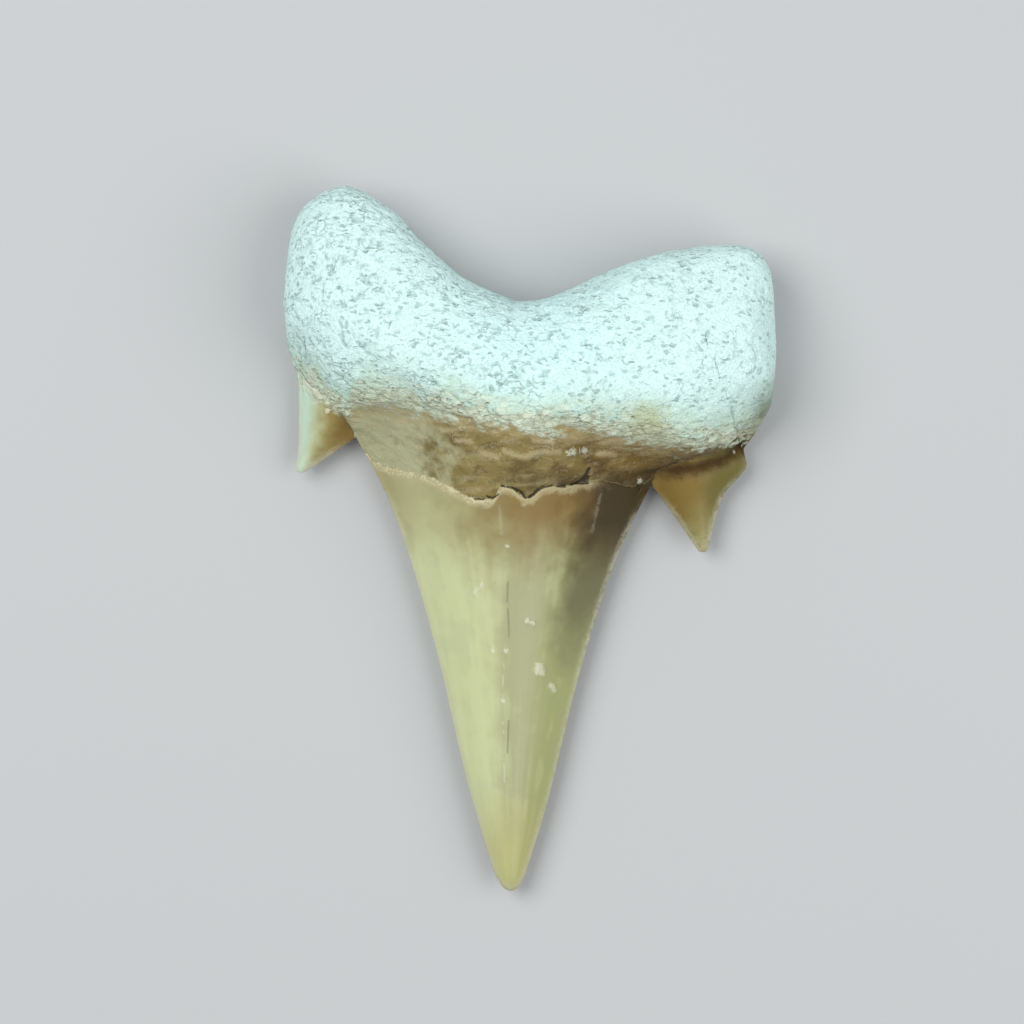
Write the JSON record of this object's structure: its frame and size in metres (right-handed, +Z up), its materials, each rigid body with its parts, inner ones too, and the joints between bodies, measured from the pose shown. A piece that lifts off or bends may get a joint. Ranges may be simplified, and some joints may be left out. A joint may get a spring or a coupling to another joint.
{
  "type": "fossil shark tooth",
  "caption": "Fossil shark tooth lying on its flat face: slender pointed crown, side cusplets and a thick two-lobed porous root.",
  "frame": {"origin": "middle of the footprint's bounding box, on the surface that the tooth rests on", "axes": "+X towards the square root lobe, +Y from the crown's tip to the root, +Z up out of the bulging lingual face"},
  "size_m": [0.0244, 0.0352, 0.0082],
  "materials": {
    "tooth": "matt, finely pitted bluish-white root and satin olive-cream enamel"
  },
  "bodies": {
    "root": {"tooth": "tooth"}
  },
  "joints": []
}
